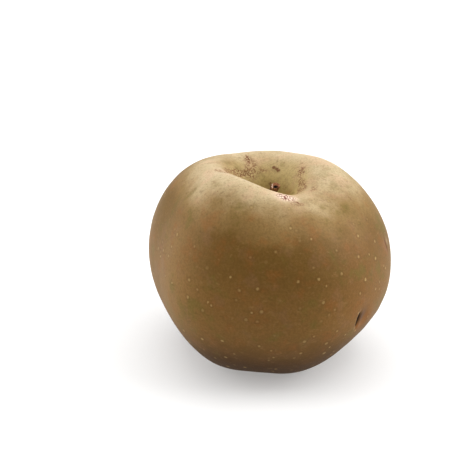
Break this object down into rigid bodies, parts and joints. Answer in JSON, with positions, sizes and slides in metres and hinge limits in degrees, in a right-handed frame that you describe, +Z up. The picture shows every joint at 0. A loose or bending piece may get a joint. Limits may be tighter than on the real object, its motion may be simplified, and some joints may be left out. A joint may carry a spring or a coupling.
{
  "type": "russet apple",
  "caption": "Whole flattened russet apple with a short stout stalk in a deep hollow on top and a dried calyx in a ribbed basin underneath, resting on the low points round the basin.",
  "frame": {"origin": "On the surface that the apple rests on, under the middle of its bounding box", "axes": "+Z up along the stalk's axis, from the calyx to the stalk; -Y towards the side that the picture shows; +X to that side's right"},
  "size_m": [0.0861, 0.0878, 0.0705],
  "materials": {
    "russet_skin": "satin",
    "stalk_bark": "matte",
    "dried_calyx": "matte"
  },
  "bodies": {
    "root": {"fruit": "russet_skin", "stalk": "stalk_bark", "calyx": "dried_calyx"}
  },
  "joints": []
}
